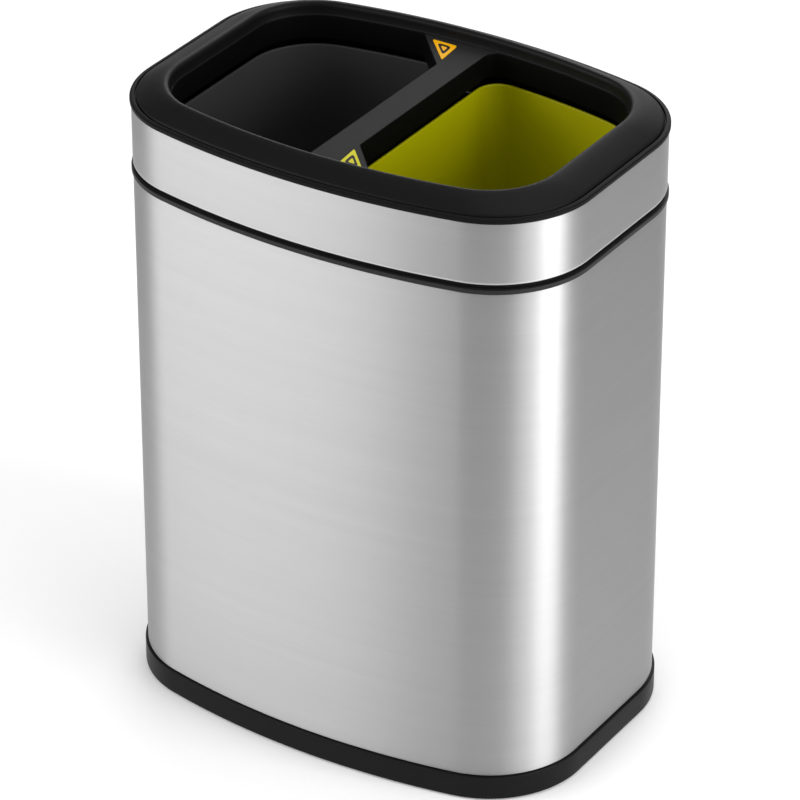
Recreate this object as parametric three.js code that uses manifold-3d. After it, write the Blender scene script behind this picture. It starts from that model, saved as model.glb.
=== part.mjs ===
// A double recycling bin: a brushed steel body with bowed front and back, a lift-off lid whose
// moulded frame holds two open mouths, and two tapered liners that stand inside, side by side.
// Millimetres, +Z up, +X to the right, the front faces -Y. The origin is on the ground, at the
// middle of the footprint.
import * as THREE from "three";
import { mergeVertices } from "three/addons/utils/BufferGeometryUtils.js";
import Module from "manifold-3d";

const wasm = await Module();
wasm.setup();

// ---------------------------------------------------------------- driving dimensions, in mm
// Plan of the body's outer face
const bodyWidth = 340; // left to right
const bodyDepth = 245.3; // over the two bows
const bowRise = 27.1; // how far the front and back bow out over the full width
const cornerRadius = 70.3; // the four upright corners

// Heights of the stack
const groundClearance = 1.2; // the base ring's lower edge above the ground
const plinthHeight = 17.5; // the base ring's visible face
const shellHeight = 371.1; // the steel body
const bandFaceHeight = 43.9; // the steel band that shows on the lid
const crestRise = 12.8; // the lid rim's crest above the band
const ledgeRise = 4; // the sunken field between the mouths, above the band
const mouthDepth = 17.3; // the skirts that hang below the field

// Clearances
const gap = 0.3; // between pieces that seat on each other
const screwClearance = 0.35; // round a screw's shank

// Steel pieces
const sheet = 0.8; // gauge of the body's sheet
const hemHeight = 8; // folded edges at the top and bottom of the body
const seamWidth = 9; // the lapped seam, inside the back
const bandSheet = 0.8; // gauge of the lid's band
const bandProud = 0.2; // the band stands this far outside the body
const bandReturn = 1.8; // the band's lower edge, turned inwards
const bandTuck = 1.3; // the band's upper edge, hidden behind the lid's lip
const panelSheet = 1; // gauge of the floor panel
const panelFlange = 8; // the floor panel's turned-down edge
const panelRaise = 4; // height of its border over the two wells that hold the liners
const wellClearance = 1.6; // between a liner's foot and the wall of its well

// Base ring
const plinthProud = 1.9; // the plinth stands this far outside the steel
const plinthWall = 2.2;
const ringRibs = 12; // upright ribs in its channel
const ribThickness = 1.6;
const panelSeatRise = 7.8; // its platform above the plinth's ledge

// Rubber feet
const footRadius = 8;
const footHeight = 2.6;
const footPlugRadius = 5.6;
const footPlugHeight = 7;
const socketWall = 1.8;

// Top collar
const collarProud = 1.2;
const collarFace = 3; // height of the lip that shows
const collarFlange = 2; // thickness of its flat top
const collarInner = 10.3; // inset of its inner edge
const collarSkirt = 20; // depth of the skirt inside the shell
const collarWall = 2;
const collarBead = 0.8; // snap bead that grips under the steel's hem
const collarGussets = 12;

// Lid
const shadowGap = 3.4; // open line between the collar and the lid's band
const retainerSetback = 1.6; // inset of the retainer's outer edge
const retainerLip = 7.9; // locating lip that drops inside the collar
const retainerWall = 1.8;
const lidPlay = 0.7; // between the locating lip and the collar
const lidWall = 2.2;
const lipProud = 1.2; // the rim's lower lip stands this far outside the body
const lipFace = 2; // the lip's upright face
const lipRounding = 0.9;
const lipInset = 1.9; // the lip's inner edge, at the groove
const lipRise = 3.5; // that edge above the band
const grooveWidth = 1.1; // the groove between the lip and the slope
const grooveDepth = 1.6;
const slopeRise = 4.1; // the slope's lower edge above the band
const crownRun = 4.4; // from the crest out to where the slope's tangents meet
const crownDrop = 0.9; // and down to there
const crestInset = 18.4; // inset of the rim's crest
const crestWidth = 3.2; // the crest's rounded inner side
const crestDrop = 3.6; // height of that rounding
const ledgeWidth = 0.4; // flat between the crest's inner wall and a mouth's edge
const endDrawIn = 5; // the opening's ends lie this much further in than its front and back
const dividerWidth = 21.4;
const fieldThickness = 2.5;
const mouthWall = 2;
const mouthEdge = 0.6; // softened edge of each mouth
const mouthCornerRadius = 9;
const cutCornerRadius = 3;
const cutCornerDepth = 36.4; // the cut corner's length along the divider
const cutCornerAngle = 42.5; // its normal, from +X, in degrees
const lidRibs = 12;
const lidRibDrop = 14; // ribs under the rim, below the field
const dividerRibs = 4;

// Colour markers, set in the two cut corners
const markerThickness = 0.5;
const markerRecess = 0.4;
const markerLong = 23.2; // sides along Y and X
const markerShort = 19.9;
const markerSetback = 2.1; // its square corner from the divider's edge
const markerMargin = 7.2; // and from the foot of the crest
const markerSplay = 2; // the narrow end leans this far towards the divider
const markerRounding = 1.4;

// Liners
const linerGap = 5.2; // between a liner's rim and the lid's skirt
const linerSetback = 1; // its inner face at the top, outside the mouth's edge
const linerWall = 1.8;
const linerTaper = 8.4; // how much narrower it is at the bottom, each side
const linerHollowRadius = 3.6; // upright corners next to the divider, at the hollow's wall
const linerBead = 0.8; // its rim stands this far outside its wall
const linerBeadHeight = 3;
const linerFootRise = 3; // hollow under the floor, inside the foot
const linerFootWidth = 5;

// Self-tapping screws
const screwRadius = 1.3;
const screwTip = 1.95; // length of its point
const baseScrewLength = 8;
const lidScrewLength = 10;
const headRadius = 3;
const headHeight = 1.4;
const crossWidth = 0.8;
const crossLength = 3.2;
const screwPlaceX = 85; // screws on the front and back, from the middle
const bossRadius = 3.7;
const bossRise = 1.5; // the bosses' roots above the band
const coreReach = 2; // the screw holes run on past the screws' tips

// Facets
const bowSteps = 6;
const cornerSteps = 6;
const smallSteps = 4;
const slopeSteps = 5;
const crestSteps = 4;
const roundSteps = 12;
const fineSteps = 8;

// ---------------------------------------------------------------- levels and insets that follow
const plinthTop = groundClearance + plinthHeight;
const shellBottom = plinthTop + gap;
const shellTop = shellBottom + shellHeight;
const collarTop = shellTop + gap + collarFace;
const bandBottom = collarTop + shadowGap;
const rimEdge = bandBottom + bandFaceHeight;
const crestTop = rimEdge + crestRise;
const fieldTop = rimEdge + ledgeRise;
const fieldBottom = fieldTop - fieldThickness;
const mouthBottom = fieldTop - mouthDepth;
const linerTop = mouthBottom - linerGap;
const retainerBottom = collarTop + gap;
const retainerTop = bandBottom - gap;
const hemThickness = 2 * sheet;
const bandInner = bandSheet - bandProud;
const lidSkirtOuter = bandInner + gap;
const lidSkirtInner = lidSkirtOuter + mouthWall;
const lidSkirtBottom = bandBottom + bandSheet + gap;
const bossInset = lidSkirtInner + bossRadius;
const crestFoot = crestInset + crestWidth + gap;
const mouthInset = crestFoot + gap + ledgeWidth + mouthEdge;
const linerInset = mouthInset - linerSetback - linerWall;
const linerDividerFace = dividerWidth / 2 - linerSetback - linerWall;
const linerCornerRadius = linerHollowRadius + linerTaper + linerFootWidth;
const collarSkirtOuter = hemThickness + gap;
const panelEdge = hemThickness + gap;
const ringUpstand = panelEdge + panelSheet + gap;
const socketRadius = footPlugRadius + gap + socketWall;
const footInset = ringUpstand + plinthWall / 2 + socketRadius;
const ringInner = footInset + socketRadius + plinthWall;
const baseScrewInset = (ringUpstand + ringInner) / 2;
const seatTop = plinthTop + panelSeatRise;
const panelTop = seatTop + gap + panelSheet;
const wellFloor = panelTop - panelRaise;
const linerBottom = wellFloor + gap;
const lipOuterCorner = collarInner + lidPlay;
const retainerInner = lipOuterCorner + retainerWall;

// ---------------------------------------------------------------- plan outlines
const degrees = Math.PI / 180;
const bodyPlan = planOf(bodyWidth);
const openingPlan = planOf(bodyWidth - 2 * endDrawIn);
const quarter = Math.PI / 2;
const slopeInset = lipInset + grooveWidth + gap;
const cutCornerStart = bowY(mouthInset, dividerWidth / 2) - cutCornerDepth;
const markerCorner = [
  -dividerWidth / 2 - markerSetback,
  bowY(crestFoot + gap, dividerWidth / 2) - markerMargin,
];

// The radii and centres of a plan's bows and corners.
function planOf(width) {
  const bowRadius = ((width / 2) ** 2 + bowRise ** 2) / (2 * bowRise);
  const bowCentre = bowRadius - bodyDepth / 2;
  const cornerX = width / 2 - cornerRadius;
  const cornerY = Math.sqrt((bowRadius - cornerRadius) ** 2 - cornerX ** 2) - bowCentre;
  const bowHalfAngle = Math.asin(cornerX / (bowRadius - cornerRadius));
  return { bowRadius, bowCentre, cornerX, cornerY, bowHalfAngle };
}

// How far from the middle an inset of the opening's rear bow lies at x.
function bowY(inset, x) {
  return Math.sqrt((openingPlan.bowRadius - inset) ** 2 - x ** 2) - openingPlan.bowCentre;
}

// An outline is a list of arcs, each { x, y, r, from, to, steps }, that run anticlockwise and meet
// at tangents or are joined by straight sides. r is the radius on the body's outer face, so that an
// inset of the outline keeps every centre and only shortens the radii.
function sampleArcs(arcs) {
  const samples = [];
  for (const { x, y, r, from, to, steps } of arcs) {
    for (let i = 0; i <= steps; i += 1) {
      const angle = from + ((to - from) * i) / steps;
      const sample = { x, y, r, angle };
      const last = samples[samples.length - 1];
      if (!last || distance(pointOf(last, 0), pointOf(sample, 0)) > 1e-3) samples.push(sample);
    }
  }
  const first = pointOf(samples[0], 0);
  if (distance(first, pointOf(samples[samples.length - 1], 0)) < 1e-3) samples.pop();
  return samples;
}

// A sample of the lid's outline has an inner sample too, which its points near as the slope rises.
function pointOf({ x, y, r, angle, inner }, inset) {
  const point = [x + (r - inset) * Math.cos(angle), y + (r - inset) * Math.sin(angle)];
  if (!inner) return point;
  const end = pointOf(inner, inset);
  return point.map((value, axis) => value + (end[axis] - value) * slopeShare(inset));
}

function slopeShare(inset) {
  return THREE.MathUtils.clamp((inset - slopeInset) / (crestInset - slopeInset), 0, 1);
}

function distance(a, b) {
  return Math.hypot(a[0] - b[0], a[1] - b[1]);
}

function outline(samples, inset) {
  return samples.map((sample) => pointOf(sample, inset));
}

// The same outline turned half a turn about the middle.
function turned(samples) {
  return samples.map(({ x, y, r, angle }) => ({ x: -x, y: -y, r, angle: angle + Math.PI }));
}

function bowArc({ bowCentre, bowRadius }, side, from, to) {
  return { x: 0, y: -side * bowCentre, r: bowRadius, from, to, steps: bowSteps };
}

function cornerArc({ cornerX, cornerY }, sideX, sideY, from, to) {
  return { x: sideX * cornerX, y: sideY * cornerY, r: cornerRadius, from, to, steps: cornerSteps };
}

function wholeOutline(plan) {
  const half = plan.bowHalfAngle;
  return sampleArcs([
    bowArc(plan, -1, -quarter - half, -quarter + half),
    cornerArc(plan, 1, -1, -quarter + half, 0),
    cornerArc(plan, 1, 1, 0, quarter - half),
    bowArc(plan, 1, quarter - half, quarter + half),
    cornerArc(plan, -1, 1, quarter + half, Math.PI),
    cornerArc(plan, -1, -1, Math.PI, 3 * quarter - half),
  ]);
}

const bodyOutline = wholeOutline(bodyPlan);
const openingOutline = wholeOutline(openingPlan);
const lidOutline = bodyOutline.map((sample, i) => ({ ...sample, inner: openingOutline[i] }));

// The left half of the opening's plan, closed by a straight side near the middle. face is that side's
// distance from the middle at the given inset. cut, where given, bevels the rear corner there.
function halfOutline(face, inset, radius, cut) {
  const r = radius + inset;
  const x = -face - radius;
  const y = bowY(inset + radius, x);
  const half = openingPlan.bowHalfAngle;
  const tangent = Math.atan2(y + openingPlan.bowCentre, x);
  const rear = cut
    ? cutCornerArcs(face, inset)
    : [{ x, y, r, from: 0, to: tangent, steps: smallSteps }];
  const rearStart = rear[rear.length - 1].to;
  return sampleArcs([
    bowArc(openingPlan, -1, -quarter - half, -tangent),
    { x, y: -y, r, from: -tangent, to: 0, steps: smallSteps },
    ...rear,
    bowArc(openingPlan, 1, rearStart, quarter + half),
    cornerArc(openingPlan, -1, 1, quarter + half, Math.PI),
    cornerArc(openingPlan, -1, -1, Math.PI, 3 * quarter - half),
  ]);
}

// The two small arcs at the ends of the cut corner.
function cutCornerArcs(face, inset) {
  const { bowRadius, bowCentre } = openingPlan;
  const normal = new THREE.Vector2(1, 0).rotateAround(new THREE.Vector2(), cutCornerAngle * degrees);
  const along = new THREE.Vector2(-normal.y, normal.x);
  const start = new THREE.Vector2(-face, cutCornerStart);
  const r = cutCornerRadius + inset;
  const lowY = start.y - (cutCornerRadius * (1 - normal.x)) / normal.y;
  const foot = start.clone().addScaledVector(normal, -cutCornerRadius);
  const fromBow = foot.clone().sub(new THREE.Vector2(0, -bowCentre));
  const reach = bowRadius - inset - cutCornerRadius;
  const half = fromBow.dot(along);
  const run = -half + Math.sqrt(half ** 2 - fromBow.lengthSq() + reach ** 2);
  const high = foot.addScaledVector(along, run);
  const bowAngle = Math.atan2(high.y + bowCentre, high.x);
  return [
    { x: -face - cutCornerRadius, y: lowY, r, from: 0, to: cutCornerAngle * degrees, steps: 2 },
    { x: high.x, y: high.y, r, from: cutCornerAngle * degrees, to: bowAngle, steps: 2 },
  ];
}

const leftMouth = halfOutline(dividerWidth / 2, mouthInset, mouthCornerRadius, true);
const rightMouth = turned(leftMouth);
const leftLiner = halfOutline(linerDividerFace, linerInset, linerCornerRadius, false);
const rightLiner = turned(leftLiner);

// ---------------------------------------------------------------- meshes and solids
function triangleMesh(points, triangles) {
  const geometry = new THREE.BufferGeometry();
  geometry.setAttribute("position", new THREE.Float32BufferAttribute(points.flat(), 3));
  geometry.setIndex(triangles.flat());
  return geometry;
}

function isClockwise(polygon) {
  return THREE.ShapeUtils.area(polygon.map(([x, y]) => new THREE.Vector2(x, y))) < 0;
}

// Sweeps a closed profile of [inset, z] points once round an outline.
function ring(samples, profile) {
  const section = isClockwise(profile) ? [...profile].reverse() : profile;
  const count = section.length;
  const points = samples.flatMap((sample) =>
    section.map(([inset, z]) => [...pointOf(sample, inset), z]),
  );
  const triangles = [];
  for (let i = 0; i < samples.length; i += 1) {
    const next = ((i + 1) % samples.length) * count;
    for (let j = 0; j < count; j += 1) {
      const k = (j + 1) % count;
      const here = i * count;
      triangles.push([here + j, here + k, next + k], [here + j, next + k, next + j]);
    }
  }
  return triangleMesh(points, triangles);
}

// Sweeps an open profile round an outline, from a cup's inside floor over its rim to its underside,
// and closes both ends with flat caps.
function cup(samples, profile) {
  const rows = profile.map(([inset, z]) => outline(samples, inset).map(([x, y]) => [x, y, z]));
  const size = samples.length;
  const triangles = [];
  for (let row = 0; row < rows.length - 1; row += 1) {
    for (let i = 0; i < size; i += 1) {
      const here = row * size + i;
      const beside = row * size + ((i + 1) % size);
      triangles.push([here, here + size, beside + size], [here, beside + size, beside]);
    }
  }
  const flat = outline(samples, profile[0][0]).map(([x, y]) => new THREE.Vector2(x, y));
  const last = (rows.length - 1) * size;
  for (const [a, b, c] of THREE.ShapeUtils.triangulateShape(flat, [])) {
    const upwards = THREE.ShapeUtils.area([flat[a], flat[b], flat[c]]) > 0;
    const face = upwards ? [a, b, c] : [a, c, b];
    triangles.push(face, [last + face[0], last + face[2], last + face[1]]);
  }
  return triangleMesh(rows.flat(), triangles);
}

// A flat plate with the given outline, between two heights.
function plate(points, low, high) {
  const shape = new THREE.Shape(points.map(([x, y]) => new THREE.Vector2(x, y)));
  const geometry = new THREE.ExtrudeGeometry(shape, { depth: high - low, bevelEnabled: false });
  return geometry.translate(0, 0, low);
}

// A body of revolution about an upright axis, from a profile of [radius, z] points.
function turnedPiece(profile, steps = roundSteps) {
  const geometry = new THREE.LatheGeometry(
    profile.map(([radius, z]) => new THREE.Vector2(radius, z)),
    steps,
  );
  return geometry.rotateX(quarter);
}

function solid(geometry) {
  const bare = geometry.clone();
  bare.deleteAttribute("normal");
  bare.deleteAttribute("uv");
  const merged = mergeVertices(bare, 1e-4);
  return new wasm.Manifold(
    new wasm.Mesh({
      numProp: 3,
      vertProperties: new Float32Array(merged.attributes.position.array),
      triVerts: new Uint32Array(merged.index.array),
    }),
  );
}

function joined(...geometries) {
  return geometries.map(solid).reduce((sum, piece) => sum.add(piece));
}

function without(body, ...cutters) {
  return cutters.map(solid).reduce((rest, cutter) => rest.subtract(cutter), body);
}

function surface(body) {
  const mesh = body.getMesh();
  const geometry = new THREE.BufferGeometry();
  geometry.setAttribute("position", new THREE.BufferAttribute(mesh.vertProperties, 3));
  geometry.setIndex(new THREE.BufferAttribute(mesh.triVerts, 1));
  geometry.computeVertexNormals();
  return geometry;
}

// ---------------------------------------------------------------- places round the body
// A station is a point on the body's outer face and the direction of its outward normal.
function bowStation(side, x) {
  const { bowRadius, bowCentre } = bodyPlan;
  const angle = side * Math.acos(x / bowRadius);
  return { x, y: bowRadius * Math.sin(angle) - side * bowCentre, angle };
}

function cornerStation(sideX, sideY) {
  const { cornerX, cornerY, bowHalfAngle } = bodyPlan;
  const half = (quarter + bowHalfAngle) / 2;
  const angle = Math.atan2(sideY * Math.cos(quarter - half), sideX * Math.sin(half));
  return {
    x: sideX * cornerX + cornerRadius * Math.cos(angle),
    y: sideY * cornerY + cornerRadius * Math.sin(angle),
    angle,
  };
}

function sideStation(side) {
  return { x: (side * bodyWidth) / 2, y: 0, angle: side > 0 ? 0 : Math.PI };
}

// Stations at equal steps along the outline, on its face at no inset.
function evenStations(samples, count) {
  const corners = outline(samples, 0);
  const lengths = corners.map((point, i) => distance(point, corners[(i + 1) % corners.length]));
  const total = lengths.reduce((sum, length) => sum + length, 0);
  return Array.from({ length: count }, (_, k) => {
    let left = (total * (k + 0.5)) / count;
    let i = 0;
    while (left > lengths[i]) {
      left -= lengths[i];
      i += 1;
    }
    const [a, b] = [corners[i], corners[(i + 1) % corners.length]];
    const t = left / lengths[i];
    const angle = Math.atan2(b[1] - a[1], b[0] - a[0]) - quarter;
    return { x: a[0] + (b[0] - a[0]) * t, y: a[1] + (b[1] - a[1]) * t, angle };
  });
}

function inwards(station, inset) {
  return [station.x - inset * Math.cos(station.angle), station.y - inset * Math.sin(station.angle)];
}

// A thin upright rib that runs inwards from a station. Its profile is [inset, z] points.
function radialRib(station, profile, thickness = ribThickness) {
  const shape = new THREE.Shape(profile.map(([inset, z]) => new THREE.Vector2(inset, z)));
  const geometry = new THREE.ExtrudeGeometry(shape, { depth: thickness, bevelEnabled: false });
  geometry.translate(0, 0, -thickness / 2);
  const inward = new THREE.Vector3(-Math.cos(station.angle), -Math.sin(station.angle), 0);
  const up = new THREE.Vector3(0, 0, 1);
  const frame = new THREE.Matrix4().makeBasis(inward, up, inward.clone().cross(up));
  frame.setPosition(station.x, station.y, 0);
  return geometry.applyMatrix4(frame);
}

const screwPlaces = [
  bowStation(-1, -screwPlaceX),
  bowStation(-1, screwPlaceX),
  bowStation(1, -screwPlaceX),
  bowStation(1, screwPlaceX),
];
const placeNames = ["front_left", "front_right", "rear_left", "rear_right"];
const lidScrewPlaces = [...screwPlaces, sideStation(-1), sideStation(1)];
const lidScrewNames = [...placeNames, "left", "right"];
const footPlaces = [
  cornerStation(-1, -1),
  cornerStation(1, -1),
  cornerStation(-1, 1),
  cornerStation(1, 1),
];

function upright(station, inset, radius, low, high, steps = roundSteps) {
  const [x, y] = inwards(station, inset);
  const profile = [[0, low], [radius, low], [radius, high], [0, high]];
  return turnedPiece(profile, steps).translate(x, y, 0);
}

// ---------------------------------------------------------------- body
// The steel wall, with both edges folded inwards and a lapped seam up the inside of the back.
function bodyShell() {
  const foldEnd = shellTop - hemHeight;
  const foldStart = shellBottom + hemHeight;
  const edge = sheet / 2;
  const wall = ring(bodyOutline, [
    [edge, shellBottom],
    [hemThickness, shellBottom],
    [hemThickness, foldStart - sheet],
    [sheet, foldStart],
    [sheet, foldEnd],
    [hemThickness, foldEnd + sheet],
    [hemThickness, shellTop],
    [edge, shellTop],
    [0, shellTop - edge],
    [0, shellBottom + edge],
  ]);
  const seam = radialRib(
    bowStation(1, 0),
    [
      [sheet / 2, foldStart],
      [sheet * 2, foldStart + sheet],
      [sheet * 2, foldEnd - hemHeight * 2],
      [sheet / 2, foldEnd - hemHeight * 2 + sheet],
    ],
    seamWidth,
  );
  return surface(joined(wall, seam));
}

// The dark ring that caps the steel. A bead on its skirt snaps under the steel's fold.
function topCollar() {
  const low = shellTop + gap;
  const flangeUnder = collarTop - collarFlange;
  const skirtInner = collarSkirtOuter + collarWall;
  const skirtBottom = shellTop - collarSkirt;
  const beadTop = shellTop - hemHeight - gap;
  const collar = ring(bodyOutline, [
    [-collarProud, low],
    [-collarProud, collarTop - gap],
    [gap - collarProud, collarTop],
    [collarInner, collarTop],
    [collarInner, flangeUnder - collarFlange],
    [collarInner - collarWall, flangeUnder - collarFlange],
    [collarInner - collarWall, flangeUnder],
    [skirtInner, flangeUnder],
    [skirtInner, skirtBottom],
    [collarSkirtOuter, skirtBottom],
    [collarSkirtOuter - collarBead, beadTop - 2 * collarBead],
    [collarSkirtOuter - collarBead, beadTop - collarBead],
    [collarSkirtOuter, beadTop],
    [collarSkirtOuter, low],
  ]);
  const gussets = evenStations(bodyOutline, collarGussets).map((station) =>
    radialRib(station, [
      [skirtInner - collarWall / 2, flangeUnder + collarFlange / 2],
      [skirtInner - collarWall / 2, skirtBottom + 2 * collarWall],
      [collarInner - collarWall / 2, flangeUnder - collarFlange],
      [collarInner - collarWall / 2, flangeUnder + collarFlange / 2],
    ]),
  );
  return surface(joined(collar, ...gussets));
}

// The moulded plinth: a channel that opens downwards, stiffened by ribs, with a raised platform
// inside the steel that carries the floor panel, and four sockets for the feet.
function baseRing() {
  const seatUnder = seatTop - plinthWall;
  const innerBottom = groundClearance + footHeight;
  const channelRoof = plinthTop - plinthWall;
  const edge = plinthWall / 3;
  const ringBody = ring(bodyOutline, [
    [-plinthProud, groundClearance + edge],
    [edge - plinthProud, groundClearance],
    [plinthWall - plinthProud, groundClearance],
    [plinthWall - plinthProud, channelRoof],
    [ringUpstand + plinthWall, channelRoof],
    [ringUpstand + plinthWall, seatUnder],
    [ringInner - plinthWall, seatUnder],
    [ringInner - plinthWall, innerBottom],
    [ringInner, innerBottom],
    [ringInner, seatTop],
    [ringUpstand, seatTop],
    [ringUpstand, plinthTop],
    [edge - plinthProud, plinthTop],
    [-plinthProud, plinthTop - edge],
  ]);
  const ribs = evenStations(bodyOutline, ringRibs).map((station) =>
    radialRib(station, [
      [plinthWall / 2 - plinthProud, innerBottom],
      [ringInner - plinthWall / 2, innerBottom],
      [ringInner - plinthWall / 2, seatUnder + plinthWall / 2],
      [ringUpstand + plinthWall / 2, seatUnder + plinthWall / 2],
      [ringUpstand + plinthWall / 2, channelRoof + plinthWall / 2],
      [plinthWall / 2 - plinthProud, channelRoof + plinthWall / 2],
    ]),
  );
  const socketBottom = footHeight + gap;
  const sockets = footPlaces.map((station) =>
    upright(station, footInset, socketRadius, socketBottom, seatUnder + plinthWall / 2),
  );
  const plugHoles = footPlaces.map((station) =>
    upright(station, footInset, footPlugRadius + gap, 0, footHeight + footPlugHeight + 2 * gap),
  );
  const bossOuter = headRadius + gap + socketWall;
  const bosses = screwPlaces.map((station) =>
    upright(station, baseScrewInset, bossOuter, seatUnder - headHeight, seatTop - gap),
  );
  const headHoles = screwPlaces.map((station) =>
    upright(station, baseScrewInset, headRadius + gap, 0, seatUnder),
  );
  const shankHoles = screwPlaces.map((station) =>
    upright(station, baseScrewInset, screwRadius + screwClearance, 0, panelTop),
  );
  const moulding = joined(ringBody, ...ribs, ...sockets, ...bosses);
  return surface(without(moulding, ...plugHoles, ...headHoles, ...shankHoles));
}

// A rubber foot: a round pad with a plug that pushes up into its socket.
function foot(station) {
  const [x, y] = inwards(station, footInset);
  const soft = footHeight / 3;
  const geometry = turnedPiece([
    [0, 0],
    [footRadius - soft, 0],
    [footRadius, soft],
    [footRadius, footHeight],
    [footPlugRadius, footHeight],
    [footPlugRadius, footHeight + footPlugHeight - soft],
    [footPlugRadius - soft, footHeight + footPlugHeight],
    [0, footHeight + footPlugHeight],
  ]);
  return surface(solid(geometry)).translate(x, y, 0);
}

// Outline of the well that holds a liner's foot.
function wellOutline(samples, extra) {
  return outline(samples, linerInset + linerTaper - wellClearance - extra);
}

// The pressed floor panel: a raised border and middle bar round two wells, and a turned-down edge.
function floorPanel() {
  const borderUnder = panelTop - panelSheet;
  const wellUnder = wellFloor - panelSheet;
  const slab = joined(
    plate(outline(bodyOutline, panelEdge), borderUnder, panelTop),
    plate(wellOutline(leftLiner, panelSheet), wellUnder, panelTop),
    plate(wellOutline(rightLiner, panelSheet), wellUnder, panelTop),
    ring(bodyOutline, [
      [panelEdge, panelTop - panelFlange],
      [panelEdge + panelSheet, panelTop - panelFlange],
      [panelEdge + panelSheet, panelTop - panelSheet / 2],
      [panelEdge, panelTop - panelSheet / 2],
    ]),
  );
  const wells = [leftLiner, rightLiner].map((samples) =>
    plate(wellOutline(samples, 0), wellFloor, panelTop + panelSheet),
  );
  const pilotHoles = screwPlaces.map((station) =>
    upright(station, baseScrewInset, screwRadius + gap, wellUnder, panelTop + panelSheet),
  );
  return surface(without(slab, ...wells, ...pilotHoles));
}

// A pan-head screw that points up, with its head's underside at z = 0 and a cross recess.
function screw(station, inset, headTop, length) {
  const [x, y] = inwards(station, inset);
  const body = turnedPiece(
    [
      [0, -headHeight],
      [headRadius * 0.6, -headHeight],
      [headRadius, -headHeight / 3],
      [headRadius, 0],
      [screwRadius, 0],
      [screwRadius, length - screwTip],
      [screwRadius / 4, length],
      [0, length],
    ],
    fineSteps,
  );
  const slots = [0, quarter].map((angle) =>
    new THREE.BoxGeometry(crossLength, crossWidth, headHeight)
      .rotateZ(angle)
      .translate(0, 0, -headHeight),
  );
  return surface(without(solid(body), ...slots)).translate(x, y, headTop);
}

// ---------------------------------------------------------------- liners
// A tapered bucket with a beaded rim, standing on a foot that leaves its floor clear.
function liner(samples) {
  const slope = linerTaper / (linerTop - linerBottom);
  const outer = (z) => linerInset + (linerTop - z) * slope;
  const beadInset = linerInset - linerBead;
  const beadBottom = linerTop - linerBeadHeight;
  const floorTop = linerBottom + linerFootRise + linerWall;
  const soft = linerWall / 3;
  const body = cup(samples, [
    [outer(floorTop) + linerWall + soft * 3, floorTop],
    [outer(floorTop) + linerWall, floorTop + soft * 3],
    [linerInset + linerWall, linerTop - soft],
    [linerInset + linerWall - soft, linerTop],
    [beadInset + soft, linerTop],
    [beadInset, linerTop - soft],
    [beadInset, beadBottom + linerBead],
    [outer(beadBottom), beadBottom],
    [outer(linerBottom + soft * 3), linerBottom + soft * 3],
    [outer(linerBottom) + soft * 3, linerBottom],
  ]);
  const hollow = plate(
    outline(samples, outer(linerBottom) + linerFootWidth),
    linerBottom - gap,
    linerBottom + linerFootRise,
  );
  return surface(without(solid(body), hollow));
}

// ---------------------------------------------------------------- lid
// The rim's slope, from the lip over the crest to the sunken field, as [inset, z] points.
function slopePoints() {
  const slope = new THREE.QuadraticBezierCurve(
    new THREE.Vector2(lipInset + grooveWidth + gap, rimEdge + slopeRise),
    new THREE.Vector2(crestInset - crownRun, crestTop - crownDrop),
    new THREE.Vector2(crestInset, crestTop),
  );
  return slope.getPoints(slopeSteps).map(({ x, y }) => [x, y]);
}

// The crest's rounded inner side.
function crestPoints() {
  const turn = new THREE.QuadraticBezierCurve(
    new THREE.Vector2(crestInset, crestTop),
    new THREE.Vector2(crestInset + crestWidth, crestTop),
    new THREE.Vector2(crestInset + crestWidth, crestTop - crestDrop),
  );
  return turn.getPoints(crestSteps).slice(1).map(({ x, y }) => [x, y]);
}

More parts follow.
